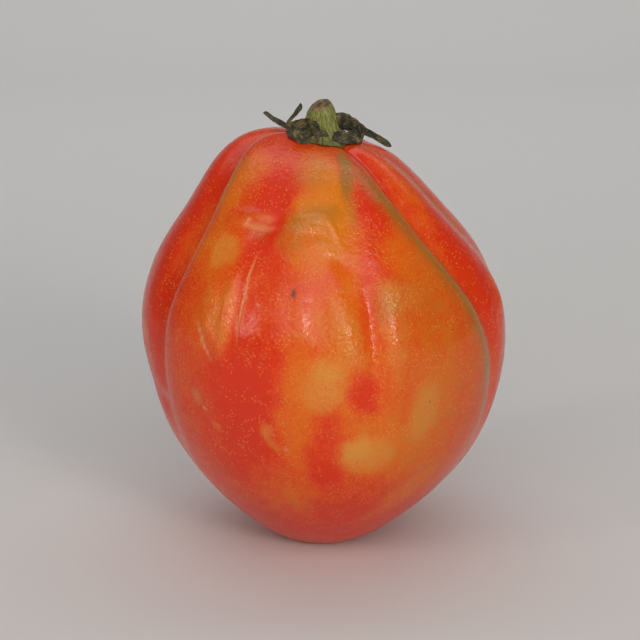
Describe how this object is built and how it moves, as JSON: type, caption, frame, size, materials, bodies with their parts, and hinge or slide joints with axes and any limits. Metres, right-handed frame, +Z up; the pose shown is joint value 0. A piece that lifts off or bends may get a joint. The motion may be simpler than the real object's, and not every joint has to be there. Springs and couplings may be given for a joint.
{
  "type": "tomato",
  "caption": "Heart-shaped, ribbed ripe tomato standing on its blunt blossom end, with a cut green stem stub and curled dried sepals.",
  "frame": {"origin": "centre of the small flat spot under the blossom end, which the fruit rests on", "axes": "+Z up from the blossom end to the stem; -Y towards the side shown to the front; +X to that side's right"},
  "size_m": [0.0894, 0.0889, 0.1112],
  "materials": {
    "skin": "satin, waxy fruit skin",
    "stem": "matt green plant stalk",
    "sepal": "matt dried leaf"
  },
  "bodies": {
    "root": {"fruit": "skin", "stem": "stem", "sepal_front_curl": "sepal", "sepal_left_long": "sepal", "sepal_left_upright": "sepal", "sepal_right_curl": "sepal", "sepal_right_long": "sepal"}
  },
  "joints": []
}
